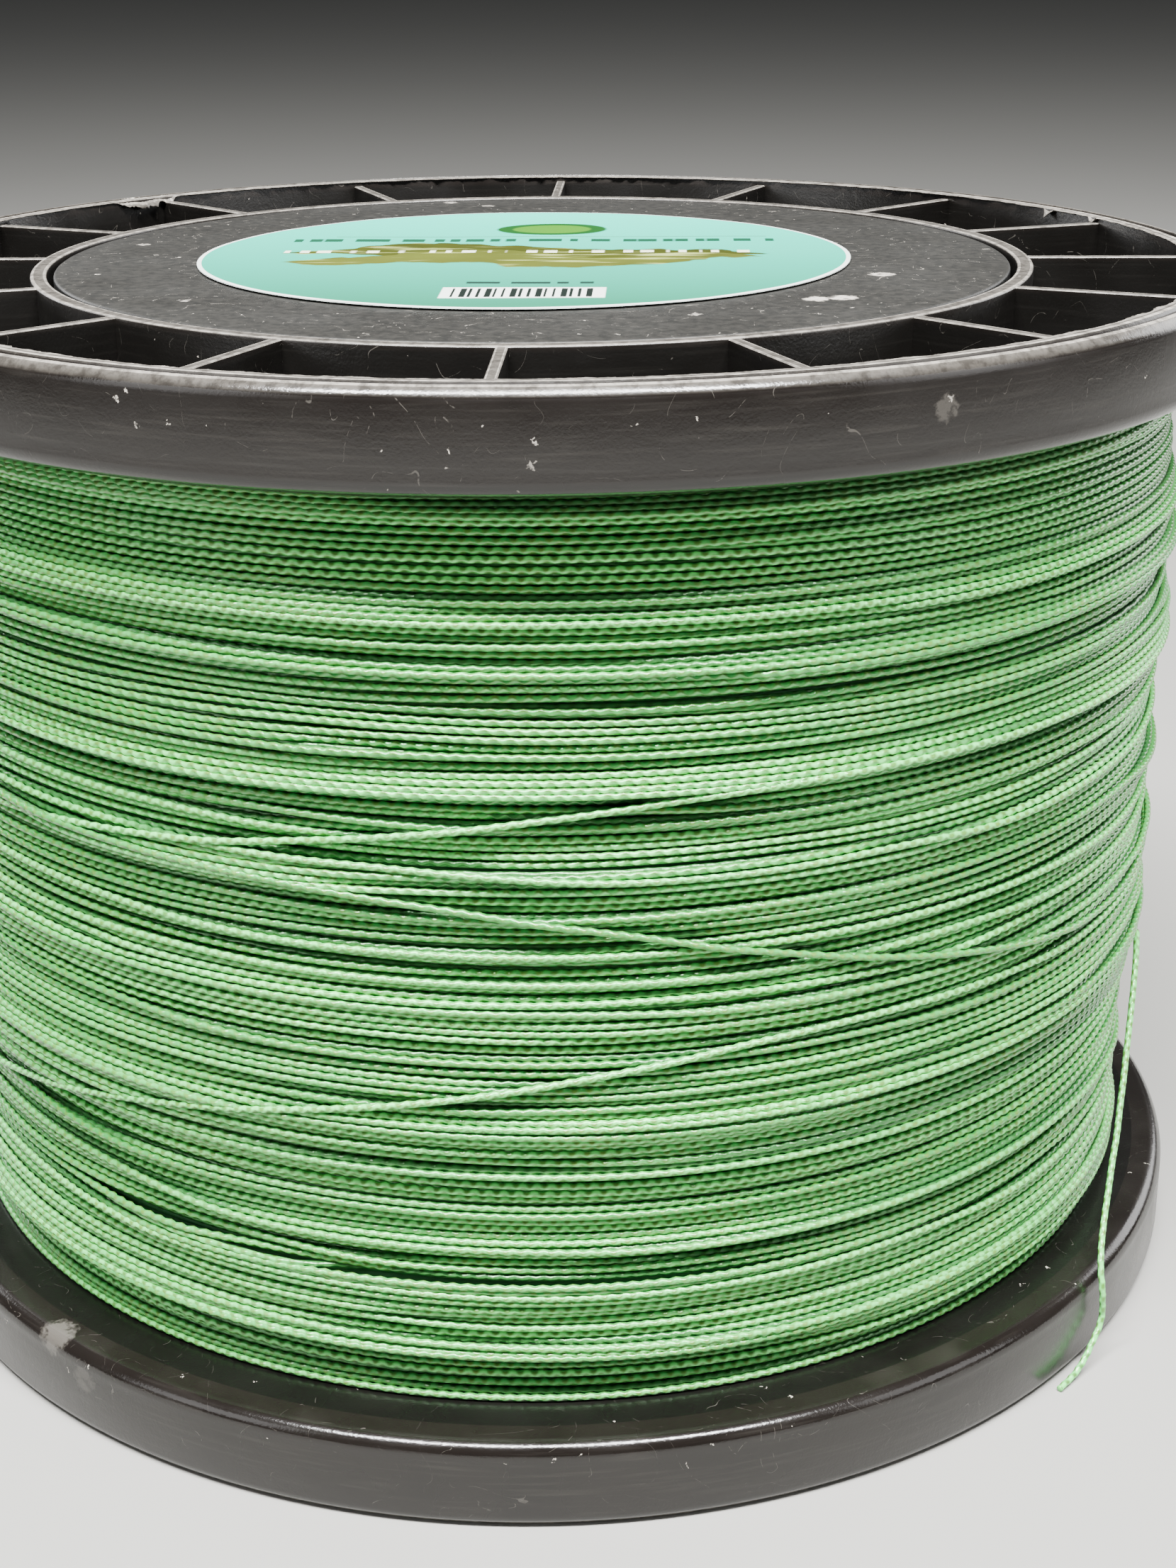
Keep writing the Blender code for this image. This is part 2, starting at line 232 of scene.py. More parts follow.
def abs_material(name, colour, roughness, rub_and_highlight_share, chips, hairlines, dust, marks):
    """Moulded ABS. The eye sees a satin near-black with pale rubs, specks and hairlines; on a flange, the
    rim's crest lines are partly painted highlight and the pocket walls painted shade.
    """
    made, tree, shader = start_material(name, IOR=1.53, Specular_IOR_Level=0.46)
    place = add_node(tree, "TexCoord").outputs["Object"]
    normal = add_node(tree, "NewGeometry").outputs["Normal"]
    parts = add_node(tree, "SeparateXYZ", {0: place})
    flat = add_node(tree, "VectorMath", {0: place, 1: (1, 1, 0)}, operation="MULTIPLY")
    radius = add_node(tree, "VectorMath", {0: flat}, operation="LENGTH")
    from_middle = add_node(tree, "Math", {0: parts.outputs["Z"], 1: middle}, operation="SUBTRACT")
    from_middle = add_node(tree, "Math", {0: from_middle}, operation="ABSOLUTE")
    facing = add_node(tree, "SeparateXYZ", {0: normal}).outputs["Z"]
    facing = add_node(tree, "Math", {0: facing}, operation="ABSOLUTE")

    # Mould flow: broad clouds of 14 mm, which shade the colour and the gloss
    clouds = add_node(tree, "TexNoise", {"Vector": place, "Scale": 1 / 0.014, "Detail": 3.0})
    # Rub marks: 1.6 mm blotches that break up the worn bands and the painted highlight lines
    rub = add_node(tree, "TexNoise", {"Vector": place, "Scale": 1 / 0.0016, "Detail": 4.0, "Roughness": 0.65})
    # Streaks: 0.5 mm high and some 12 mm long, left by sliding the spool
    drawn = add_node(tree, "Mapping", {"Vector": place, "Scale": (80, 80, 1900)})
    streak = add_node(tree, "TexNoise", {"Vector": drawn, "Scale": 1.0, "Detail": 2.0})

    # Faces that stand proud wear grey, and their edges wear white. The crest's two pale lines,
    # the inner line and the corner line, are partly wear and partly painted highlight; the groove
    # between them is left unworn. Each band is (radius, half width, added whiteness): rim edges
    # and crest, then ring edges
    on_top = add_node(tree, "MapRange", {0: from_middle, 1: middle - 0.0015, 2: middle - 0.0010})
    flat_up = add_node(tree, "MapRange", {0: facing, 1: 0.40, 2: 0.85})
    proud = add_node(tree, "Math", {0: on_top, 1: flat_up}, operation="MULTIPLY")
    rubs_and_highlights = 0.26
    for band, half_width, added in (
            (flange_radius - RIM_WALL, 0.0005, 0.35), (flange_radius - 0.0035, 0.0004, 0.65),
            (flange_radius - 0.0025, 0.0007, -0.25), (flange_radius - 0.0014, 0.0003, 0.50),
            (RING_RADIUS - 0.0002, 0.0003, 0.45), (RING_RADIUS - RING_WALL + 0.0002, 0.0003, 0.45)):
        near = add_node(tree, "Math", {0: radius, 1: band, 2: half_width}, operation="COMPARE")
        rubs_and_highlights = add_node(tree, "Math", {0: near, 1: added, 2: rubs_and_highlights}, operation="MULTIPLY_ADD")
    # Distance from the middle of the nearest rib, to whiten the ribs' long edges
    bearing = add_node(tree, "Math", {0: parts.outputs["Y"], 1: parts.outputs["X"]}, operation="ARCTAN2")
    bearing = add_node(tree, "Math", {0: bearing, 1: RIB_COUNT / 2}, operation="MULTIPLY")
    sideways = add_node(tree, "Math", {0: bearing}, operation="SINE")
    for length in (radius, 2 / RIB_COUNT):
        sideways = add_node(tree, "Math", {0: sideways, 1: length}, operation="MULTIPLY")
    sideways = add_node(tree, "Math", {0: sideways}, operation="ABSOLUTE")
    near = add_node(tree, "Math", {0: sideways, 1: 0.00065, 2: 0.00018}, operation="COMPARE")
    open_web = add_node(tree, "Math", {0: radius, 1: (flange_radius + RING_RADIUS - RIM_WALL) / 2,
                                       2: (flange_radius - RIM_WALL - RING_RADIUS) / 2}, operation="COMPARE")
    near = add_node(tree, "Math", {0: near, 1: open_web}, operation="MULTIPLY")
    rubs_and_highlights = add_node(tree, "Math", {0: near, 1: 0.5, 2: rubs_and_highlights}, operation="MULTIPLY_ADD")
    broken = add_node(tree, "MapRange", {0: rub, 1: 0.38, 2: 0.58, 3: 0.40, 4: 1.0})
    for share in (proud, broken, rub_and_highlight_share):
        rubs_and_highlights = add_node(tree, "Math", {0: rubs_and_highlights, 1: share}, operation="MULTIPLY")

    # Torn outlines: marks are drawn in a place shifted to and fro by 0.4 mm
    torn = add_node(tree, "TexNoise", {"Vector": place, "Scale": 1 / 0.0007, "Detail": 3.0}).outputs["Color"]
    torn = add_node(tree, "VectorMath", {0: torn, 1: (0.5, 0.5, 0.5)}, operation="SUBTRACT")
    torn = add_node(tree, "VectorMath", {0: torn, 1: [0.0022] * 3, 2: place}, operation="MULTIPLY_ADD")
    # Chips and dust: 0.2 to 0.5 mm specks, a few to the square centimetre
    cells = add_node(tree, "TexVoronoi", {"Vector": torn, "Scale": 1 / 0.0034})
    dot = add_node(tree, "MapRange", {0: cells.outputs["Distance"], 1: 0.075, 2: 0.035})
    pick = add_node(tree, "SeparateXYZ", {0: cells.outputs["Color"]}).outputs["X"]
    chosen = add_node(tree, "Math", {0: pick, 1: 1.0 - chips}, operation="GREATER_THAN")
    dot = add_node(tree, "Math", {0: dot, 1: chosen}, operation="MULTIPLY")
    # Hairlines: thin wandering scratches that show only in patches
    wander = add_node(tree, "TexNoise", {
        "Vector": place, "Scale": 1 / 0.011, "Detail": 1.0, "Distortion": 1.2})
    line = add_node(tree, "Math", {0: wander, 1: 0.5, 2: 0.0016}, operation="COMPARE")
    patch = add_node(tree, "MapRange", {0: rub, 1: 0.50, 2: 0.56})
    for share in (patch, hairlines):
        line = add_node(tree, "Math", {0: line, 1: share}, operation="MULTIPLY")
    pale = rubs_and_highlights
    for mark in (dot, line):
        pale = add_node(tree, "Math", {0: pale, 1: mark}, operation="MAXIMUM")
    # Knocks: whitened spots at known places, broken up inside
    flecks = add_node(tree, "MapRange", {0: rub, 1: 0.38, 2: 0.48, 3: 0.25, 4: 1.0})
    for spot, size, strength in marks:
        gap = add_node(tree, "VectorMath", {0: torn, 1: spot}, operation="DISTANCE")
        knock = add_node(tree, "MapRange", {0: gap, 1: size * 0.7, 2: size * 0.5, 3: 0.0, 4: strength})
        knock = add_node(tree, "Math", {0: knock, 1: flecks}, operation="MULTIPLY")
        pale = add_node(tree, "Math", {0: pale, 1: knock}, operation="MAXIMUM")

    deep = [v * 0.72 for v in linear(colour)[:3]] + [1.0]
    soft = [v * 1.45 for v in linear(colour)[:3]] + [1.0]
    base = add_node(tree, "Mix", {0: clouds, 6: deep, 7: soft}, data_type="RGBA")
    dusty = add_node(tree, "MapRange", {0: streak, 1: 0.52, 2: 0.80, 3: 0.0, 4: dust})
    base = add_node(tree, "Mix", {0: dusty, 6: base, 7: linear("#77736c")}, data_type="RGBA")
    # Painted shade: walls inside the pockets are painted near black, darker than the faces outside
    wall = flange_radius - RIM_WALL
    inner = add_node(tree, "MapRange", {0: radius, 1: wall + 0.0002, 2: wall + 0.0001, 3: 0.0, 4: 0.75})
    below = add_node(tree, "MapRange", {0: from_middle, 1: middle - 0.0009, 2: middle - 0.0016})
    inner = add_node(tree, "Math", {0: inner, 1: below}, operation="MULTIPLY")
    base = add_node(tree, "Mix", {0: inner, 6: base, 7: linear("#080807")}, data_type="RGBA")
    # Pale stress white: wear, and on the rim's crest partly painted highlight
    base = add_node(tree, "Mix", {0: pale, 6: base, 7: linear(ABS_STRESS_AND_HIGHLIGHT)}, data_type="RGBA")
    gloss = add_node(tree, "MapRange", {0: clouds, 1: 0.3, 2: 0.7, 3: roughness - 0.05, 4: roughness + 0.06})
    gloss = add_node(tree, "Math", {0: pale, 1: 0.30, 2: gloss}, operation="MULTIPLY_ADD")
    # The rim's rounded corners are rubbed shiny
    corner = flange_radius - 0.0022
    polished = add_node(tree, "MapRange", {0: radius, 1: corner - 0.0004, 2: corner, 3: 0.0, 4: -0.11})
    slanted = add_node(tree, "Math", {0: facing, 1: 0.65, 2: 0.30}, operation="COMPARE")
    gloss = add_node(tree, "Math", {0: polished, 1: slanted, 2: gloss},
                     operation="MULTIPLY_ADD", use_clamp=True)

    # Spark-eroded mould grain of 0.35 mm, with the rubs lying slightly proud
    grain = add_node(tree, "TexNoise", {"Vector": place, "Scale": 1 / 0.00035, "Detail": 2.0})
    relief = add_node(tree, "Math", {0: rub, 1: 1.6, 2: grain}, operation="MULTIPLY_ADD")
    bump = add_node(tree, "Bump", {"Height": relief, "Distance": 0.00003, "Strength": 0.6})
    feed(shader, {"Base Color": base, "Roughness": gloss, "Normal": bump})
    return made


# Knocks on the rims: (place, size, strength)
RIM_MARKS = (
    ((0.0509, -0.0861, 0.1430), 0.0026, 0.09),
    ((0.0513, -0.0858, 0.1440), 0.0007, 0.70),
    ((-0.0404, -0.0915, 0.1459), 0.0005, 0.95),
    ((-0.0417, -0.0909, 0.1449), 0.0005, 0.90),
    ((-0.0394, -0.0919, 0.1422), 0.0005, 0.85),
    ((-0.0357, -0.0934, 0.1427), 0.0004, 0.80),
    ((-0.0002, -0.1000, 0.1438), 0.0004, 0.80),
    ((0.0052, -0.0999, 0.1420), 0.0005, 0.80),
    ((0.0048, -0.0999, 0.1395), 0.0006, 0.50),
    ((-0.0636, -0.0756, 0.0122), 0.0044, 0.16),
    ((-0.0590, -0.0808, 0.0085), 0.0030, 0.07),
    ((-0.0748, 0.0670, 0.1480), 0.0040, 1.00),
    ((0.0325, -0.0729, 0.1472), 0.0008, 1.00),
)
moulded_abs = abs_material("moulded_black_abs", ABS_BLACK, 0.27, rub_and_highlight_share=0.90, chips=0.34,
                           hairlines=0.10, dust=0.05, marks=RIM_MARKS)

flange("lower_flange_moulding", "bottom_flange", top=False)
flange("upper_flange_moulding", "top_flange", top=True)


# Flash: ABS that crept out between the halves of the mould and was never cut
# off. Burrs are (bearing in degrees, half width in degrees, length).
FLASH_STEPS = 1500
FLASH_REACH = 0.0011


def rim_flash(name, slot_name, height, seed, burrs):
    """Ragged film of plastic along the inside edge of a rim's face."""
    edge = np.random.default_rng(seed)
    steps = FLASH_STEPS
    reach_in = np.zeros(steps)
    for grain, share in ((8, 0.45), (3, 0.35), (1, 0.20)):
        coarse = edge.uniform(0, 1, steps // grain + 2)
        reach_in += share * np.interp(np.arange(steps) / grain, np.arange(len(coarse)), coarse)
    reach_in = FLASH_REACH * reach_in ** 1.8
    angles = np.linspace(0, math.tau, steps, endpoint=False)
    droop = np.zeros(steps)
    for where, spread, size in burrs:
        away = np.degrees(np.abs(angles - math.radians(where)))
        droop += size * np.clip(1 - away / spread, 0, 1) * edge.uniform(0.55, 1.0, steps)
    root = flange_radius - RIM_WALL + 0.0005
    tip = flange_radius - RIM_WALL - reach_in - droop * 0.6
    outline = ((root, -0.00006), (root, -0.00020), (tip, -0.00018 - droop), (tip, -0.00008 - droop))
    sign = 1 if height > middle else -1
    points = [np.stack([r * np.cos(angles), r * np.sin(angles), height + sign * drop + 0 * angles], -1)
              for r, drop in outline]
    points = np.stack(points, 1).reshape(-1, 3)
    faces = []
    for step in range(steps):
        for side in range(4):
            ahead = (step + 1) % steps * 4
            loop = (step * 4 + side, step * 4 + (side + 1) % 4, ahead + (side + 1) % 4, ahead + side)
            faces.append(loop[::sign])
    mesh = bpy.data.meshes.new(name)
    mesh.from_pydata(points.tolist(), [], faces)
    finish_piece(add_object(name, mesh), moulded_abs, "black_abs", slot_name)


rim_flash("upper_rim_flash", "top_flange", spool_top, 3,
          ((138.2, 3.5, 0.0022), (134.9, 0.8, 0.0020), (30.2, 0.8, 0.0016), (23.0, 0.6, 0.0013),
           (279.0, 0.5, 0.0010)))
rim_flash("lower_rim_flash", "bottom_flange", 0.0, 4, ())


# ---- Barrel, arbor tube, screws and tape -----------------------------------
# Inside the line: an ABS drum that the flanges are screwed to with zinc-plated
# tapping screws, the tube for a spindle, and clear tape over the line's start.
barrel_abs = abs_material("turned_black_abs", "#1d1c1b", 0.46, rub_and_highlight_share=0.2, chips=0.1,
                          hairlines=0.2, dust=0.08, marks=())


def finish_inside(names, material):
    """Give its material to each inner piece that keeps the shape of its design."""
    for name in names:
        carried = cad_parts[name]
        carried.data.materials.clear()
        carried.data.materials.append(material)


finish_inside(("barrel", "arbor_tube"), barrel_abs)

# Zinc plate on steel: a bright grey metal with a faint yellow passivation.
zinc_plate, tree, shader = start_material("zinc_plated_steel", Metallic=1.0)
place = add_node(tree, "TexCoord").outputs["Object"]
crystals = add_node(tree, "TexVoronoi", {"Vector": place, "Scale": 1 / 0.0006}).outputs["Color"]
crystals = add_node(tree, "SeparateXYZ", {0: crystals}).outputs["X"]
tone = add_node(tree, "Mix", {0: crystals, 6: linear("#b9b7ae"), 7: linear("#cfcbb8")}, data_type="RGBA")
polish = add_node(tree, "MapRange", {0: crystals, 3: 0.28, 4: 0.42})
feed(shader, {"Base Color": tone, "Roughness": polish})
finish_inside([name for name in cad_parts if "_screw_" in name], zinc_plate)

# Acrylic packing tape: a clear, slightly yellow film with trapped air.
packing_tape, tree, shader = start_material("acrylic_packing_tape", Roughness=0.22, IOR=1.49)
place = add_node(tree, "TexCoord").outputs["Object"]
air = add_node(tree, "TexNoise", {"Vector": place, "Scale": 1 / 0.002, "Detail": 3.0})
film = add_node(tree, "Mix", {0: air, 6: linear("#a39a7c"), 7: linear("#cdc6ae")}, data_type="RGBA")
feed(shader, {"Base Color": film})
finish_inside(["start_tape"], packing_tape)


# ---- Hub discs -------------------------------------------------------------
# Round caps pressed into the hub rings, each with a socket for the arbor tube.
# The same ABS, but their wide faces are dulled by handling: rubbed grey, with
# chips along the edge and a few white knocks.
DISC_STEPS = 240
DISC_GROOVE = 0.0009
DISC_DROP = 0.0008
DISC_PLATE = 0.0022
DISC_SKIRT = 0.0024
SOCKET_WALL = 0.0025
SOCKET_DEPTH = 0.0080
TUBE_WALL = 0.0020
DISC_EDGE = 0.0005
CLEARANCE = 0.0003

tube_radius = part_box("arbor_tube")[1].x
bore_radius = tube_radius - TUBE_WALL
disc_radius = RING_RADIUS - RING_WALL - DISC_GROOVE
disc_face = spool_top - DISC_DROP


def hub_disc(name, slot_name, top):
    """One cap, turned, with rounded edges."""
    face = rim_height - DISC_DROP
    under = face - DISC_PLATE
    socket = tube_radius + CLEARANCE
    outline = [(disc_radius - 0.012, face + 0.00003)]
    outline += arc((disc_radius - DISC_EDGE, face - DISC_EDGE), DISC_EDGE, 90, 0, 4)
    outline += [(r, WEB_THICKNESS + CLEARANCE) for r in (disc_radius, disc_radius - DISC_SKIRT)]
    outline += arc((disc_radius - DISC_SKIRT - FILLET, under - FILLET), FILLET, 0, 90, 3)
    outline += arc((socket + SOCKET_WALL + FILLET, under - FILLET), FILLET, 90, 180, 3)
    outline += [(socket + SOCKET_WALL, under - SOCKET_DEPTH), (socket, under - SOCKET_DEPTH), (socket, under)]
    outline += [(bore_radius, under), (bore_radius, face - EDGE), (bore_radius + EDGE, face)]
    made = settle_mesh(turned(name, outline, DISC_STEPS))
    stand_at_end(made, top)
    finish_piece(made, rubbed_abs, "scuffed_abs", slot_name)


DISC_MARKS = (
    ((0.0493, -0.0171, disc_face), 0.0026, 1.00),
    ((0.0425, -0.0368, disc_face), 0.0030, 1.00),
    ((0.0390, -0.0378, disc_face), 0.0028, 1.00),
    ((0.0231, -0.0496, disc_face), 0.0014, 0.60),
    ((-0.0605, -0.0157, disc_face), 0.0008, 0.90),
    ((-0.0602, 0.0138, disc_face), 0.0015, 0.60),
    ((-0.0439, -0.0385, disc_face), 0.0012, 0.60),
    ((-0.0177, 0.0640, disc_face), 0.0018, 0.70),
    ((-0.0108, 0.0593, disc_face), 0.0018, 0.50),
)
rubbed_abs = abs_material("rubbed_black_abs", "#0d0e0d", 0.47, rub_and_highlight_share=0.16, chips=0.62,
                          hairlines=0.45, dust=0.0, marks=DISC_MARKS)
hub_disc("lower_hub_cap", "bottom_hub_disc", top=False)
hub_disc("upper_hub_cap", "top_hub_disc", top=True)


# ---- Wound line ------------------------------------------------------------
# Braided polyethylene line, 0.94 mm across, wound under tension. Each turn
# settles into the turns below it, so some stand proud and others sink in, and
# the last few turns cross the rest at a slant.
LINE_DIAMETER = 0.00094
PICK = 0.0019              # length of one braid repeat
SETTLE_ANGLES = 204
HEIGHT_STEP = 0.00004
PACK_LOW = rim_height + 0.00062
PACK_HIGH = spool_top - rim_height - 0.00062
LAYER_SPAN = 0.00150       # what the drawn layers add to the core's radius
WIND_START = math.radians(90)      # the winding is followed from the back, clockwise from above
SLOPE_REACH = 0.00012      # how far to each side a turn feels for a lower seat
EASE_COLUMNS = 20          # seats over which two turns are eased into each other
INNER_STEP = 0.0029        # ring spacing along the lower layer, which only shows in gaps
TOOTH = 0.00006            # how far each crossing of the braid steps aside
LEAN = 0.0012              # how far the turns tilt, falling from left to right at the front
LEAN_FROM = math.radians(-84.5)
HEAP_FREE = 0.0006         # heaps of turns stand this far out before tension presses them
HEAP_PRESS = 0.6           # share of the rest that is pressed in
random = np.random.default_rng(11)


def smooth_noise(rows, columns, row_waves, column_waves):
    """Seeded smooth noise in about -1..1, periodic along the rows' axis."""
    angle = np.linspace(0, math.tau, rows, endpoint=False)[:, None]
    along = np.linspace(0, math.tau, columns)[None, :]
    total = np.zeros((rows, columns))
    weight = 0.0
    for _ in range(28):
        turns = random.integers(0, row_waves + 1)
        rate = random.uniform(0.3, column_waves)
        size = 1.0 / (1.0 + turns / 3 + rate / column_waves)
        total += size * np.sin(turns * angle + rate * along + random.uniform(0, math.tau))
        weight += size * size / 2
    return total / math.sqrt(weight) / 2


def pack_radius(height):
    """Outside of the wound pack by height: fuller above, leaner below."""
    heights = (0.0126, 0.0140, 0.0180, 0.0380, 0.0440, 0.0480, 0.0540, 0.0620, 0.0720, 0.0980,
               0.1080, 0.1200, 0.1310, 0.1354)
    radii = (0.0902, 0.0906, 0.0911, 0.0912, 0.0916, 0.0920, 0.0929, 0.0932, 0.0929, 0.0930,
             0.0935, 0.0933, 0.0929, 0.0918)
    return np.interp(height, heights, radii)


heights = np.arange(PACK_LOW - LINE_DIAMETER, PACK_HIGH + LINE_DIAMETER, HEIGHT_STEP)
reach = int(LINE_DIAMETER / HEIGHT_STEP)
columns = np.arange(SETTLE_ANGLES)
turned_by = columns * math.tau / SETTLE_ANGLES
azimuth = WIND_START - turned_by
uneven = smooth_noise(SETTLE_ANGLES, len(heights), 5, 60) * 0.00012
# seat[angle, height] is the radius at which a new turn's centre would lie
seat = (pack_radius(heights) - LINE_DIAMETER / 2 - LAYER_SPAN)[None, :] + uneven


def seat_at(where):
    """Seat radius under one turn."""
    spot = np.clip((where - heights[0]) / HEIGHT_STEP, 0, len(heights) - 1.001)
    low = spot.astype(int)
    share = spot - low
    return seat[columns, low] * (1 - share) + seat[columns, low + 1] * share


def lay_turn(where, slip):
    """Let a turn slide sideways into a groove, rest there, and raise the seat."""
    start = where.copy()
    for _ in range(10):
        slope = (seat_at(where + SLOPE_REACH) - seat_at(where - SLOPE_REACH)) / (2 * SLOPE_REACH)
        where = where - np.clip(slope, -0.8, 0.8) * SLOPE_REACH
        where = start + np.clip(where - start, -slip, slip)
        padded = np.concatenate([where[-3:], where, where[:3]])
        padded[:3] += start[0] - start[-1]
        padded[-3:] += start[-1] - start[0]
        where = np.convolve(padded, np.ones(7) / 7, "valid") * 0.5 + where * 0.5
    where = np.clip(where, PACK_LOW, PACK_HIGH)
    radius = seat_at(where)
    for _ in range(3):
        padded = np.concatenate([radius[-2:], radius, radius[:2]])
        radius = np.maximum(radius, np.convolve(padded, (0.12, 0.22, 0.32, 0.22, 0.12), "valid"))
    radius -= HEAP_PRESS * np.maximum(radius - pack_radius(where) - HEAP_FREE, 0.0)
    middle_cell = ((where - heights[0]) / HEIGHT_STEP).astype(int)
    for step in range(-reach, reach + 1):
        cell = np.clip(middle_cell + step, 0, len(heights) - 1)
        gap = heights[cell] - where
        lift = np.sqrt(np.maximum(LINE_DIAMETER ** 2 - gap ** 2, 0.0))
        raised = np.where(lift > 0, radius + lift, 0.0)
        seat[columns, cell] = np.maximum(seat[columns, cell], raised)
    return where, radius


def wind_layer(pitch, loose, wander, slip, start, stop):
    """Wind one layer between two heights. Returns each turn's heights and radii."""
    count = int(abs(stop - start) / pitch)
    steps = pitch * random.uniform(1 - loose, 1 + loose, count)
    levels = start + (np.cumsum(steps) - steps[0]) / (steps.sum() - steps[0]) * (stop - start)
    field = smooth_noise(SETTLE_ANGLES, count, 3, 9)
    turns = []
    for turn in range(count):
        after = levels[min(turn + 1, count - 1)]
        level = levels[turn] + (after - levels[turn]) * turned_by / math.tau
        edge = np.clip((level - PACK_LOW) / 0.006, 0, 1) * np.clip((PACK_HIGH - level) / 0.006, 0, 1)
        lean = LEAN * np.sin(azimuth - LEAN_FROM)
        own = 0.00008 * np.sin(turned_by * random.integers(1, 4) + random.uniform(0, math.tau))
        turns.append(lay_turn(level + edge * (wander * field[:, turn] - lean + own), slip))
    return turns


def strand_points(turns, spacing, sides, tooth, stop=0.0):
    """Rings of points round the line, with the braid's zigzag, and how far each has turned."""
    where = np.concatenate([t[0] for t in turns])
    radius = np.concatenate([t[1] for t in turns])
    kernel = np.ones(5) / 5
    where = np.concatenate([where[:2], np.convolve(where, kernel, "valid"), where[-2:]])
    # Each turn is settled on its own, so the step where it joins the next is eased out
    for seam in range(SETTLE_ANGLES, len(where), SETTLE_ANGLES):
        for line in (where, radius):
            step = (line[seam] - line[seam - 1]) * np.linspace(0, 0.5, EASE_COLUMNS)
            line[seam - EASE_COLUMNS:seam] += step
            line[seam:seam + EASE_COLUMNS] -= step[::-1]
    total = (len(where) - 1) * math.tau / SETTLE_ANGLES - stop
    rings = int(total * flange_radius * 0.93 / spacing)
    pace = 1 + 0.05 * np.sin(np.linspace(0, 37.0, rings)) + random.uniform(-0.04, 0.04, rings)
    turned = np.cumsum(pace) / pace.sum() * total
    coarse = np.arange(len(where)) * math.tau / SETTLE_ANGLES
    height = np.interp(turned, coarse, where)
    out = np.interp(turned, coarse, radius)
    beat = np.arange(rings) % 2 * 2 - 1
    height = height + beat * tooth
    around = np.linspace(0, math.tau, sides, endpoint=False)[None, :] + (beat * 0.26)[:, None]
    thick = LINE_DIAMETER / 2 * (1 + 0.12 * np.cos(2 * around + (beat * 0.9)[:, None]) * (tooth > 0))
    ring_radius = out[:, None] + thick * np.cos(around)
    place = WIND_START - turned[:, None]
    points = np.stack([ring_radius * np.cos(place), ring_radius * np.sin(place),
                       height[:, None] + thick * np.sin(around)], axis=-1)
    return points, turned


def tube(name, points, picks, turn_of, shade, depth):
    """Closed tube over rings of points, with a braid map, a strip map, a shade and a depth."""
    rings, sides, _ = points.shape
    start = np.arange(rings - 1)[:, None] * sides
    side = np.arange(sides)[None, :]
    ahead = (side + 1) % sides
    quads = np.stack([start + side, start + sides + side, start + sides + ahead, start + ahead], -1)
    mesh = bpy.data.meshes.new(name)
    caps = [list(range(sides)), list(range(rings * sides - 1, (rings - 1) * sides - 1, -1))]
    mesh.from_pydata(points.reshape(-1, 3), [], quads.reshape(-1, 4).tolist() + caps)
    share = side / sides
    braid = []
    for along, edge in ((picks[:-1], 0), (picks[1:], 0), (picks[1:], 1), (picks[:-1], 1)):
        braid.append(np.stack([along[:, None] + 0 * share, share + edge / sides + 0 * along[:, None]], -1))
    braid = np.stack(braid, 2)
    # The strip map lays each turn out as a row of its own, so that it can carry a texture
    turn = np.floor(turn_of[:-1, None])
    row = turn - turn[0]
    begin = turn_of[:-1, None] - turn
    end = np.minimum(turn_of[1:, None] - turn, 1.0)
    strip = []
    for along, edge in ((begin, 0), (end, 0), (end, 1), (begin, 1)):
        across = (row + 0.06 + 0.88 * (share + edge / sides)) / (row[-1, 0] + 1)
        strip.append(np.stack([along * 0.998 + 0.001 + 0 * share, across], -1))
    strip = np.stack(strip, 2)
    for map_name, values in (("OFBake", strip), ("braid", braid)):
        layer = mesh.uv_layers.new(name=map_name)
        flat = np.zeros((len(mesh.loops), 2), np.float32)
        flat[:values.size // 2] = values.reshape(-1, 2)
        flat[values.size // 2:] = values.reshape(-1, 2)[-1]
        layer.uv.foreach_set("vector", flat.ravel())
    for value_name, values in (("shade", shade), ("depth", depth)):
        layer = mesh.attributes.new(value_name, "FLOAT", "POINT")
        layer.data.foreach_set("value", np.repeat(values, sides).astype(np.float32))
    mesh.shade_smooth()
    return add_object(name, mesh)


# Polyethylene braid, dyed green: waxy, so each crossing of the braid catches the light on its own.
# Between the crossings the colour is painted darker as painted shade, and slightly brown from stains.
braided_line, tree, shader = start_material(
    "braided_polyethylene", Roughness=0.34, IOR=1.54, Specular_IOR_Level=1.0,
    Specular_Tint=linear("#b8ffb4"), Coat_Weight=0.6, Coat_Roughness=0.20)
shade = add_node(tree, "Attribute", attribute_name="shade").outputs["Fac"]
braid_map = add_node(tree, "UVMap", uv_map="braid")
weave = add_node(tree, "SeparateXYZ", {0: braid_map})
crossings = []
for direction in (1.0, -1.0):
    phase = add_node(tree, "Math", {0: weave.outputs["Y"], 1: 2.0 * direction, 2: weave.outputs["X"]},
                     operation="MULTIPLY_ADD")
    phase = add_node(tree, "Math", {0: phase, 1: math.tau}, operation="MULTIPLY")
    crossings.append(add_node(tree, "Math", {0: phase}, operation="SINE"))
proud = add_node(tree, "Math", {0: crossings[1], 1: crossings[0]}, operation="SUBTRACT")
proud = add_node(tree, "MapRange", {0: proud, 1: -1.4, 2: 0.8})
place = add_node(tree, "TexCoord").outputs["Object"]
stain = add_node(tree, "TexNoise", {"Vector": place, "Scale": 1 / 0.007, "Detail": 3.0})
stain_and_hollow_shade = add_node(tree, "Mix", {0: stain, 6: linear("#1f7e35"), 7: linear("#6a7c2a")}, data_type="RGBA")
light = add_node(tree, "Mix", {0: shade, 6: linear("#2a8a3c"), 7: linear("#6fe877")}, data_type="RGBA")
# Painted shade: the hollows between the braid's crossings take the darker, stained colour
dye_and_painted_shade = add_node(tree, "Mix", {0: proud, 6: stain_and_hollow_shade, 7: light}, data_type="RGBA")
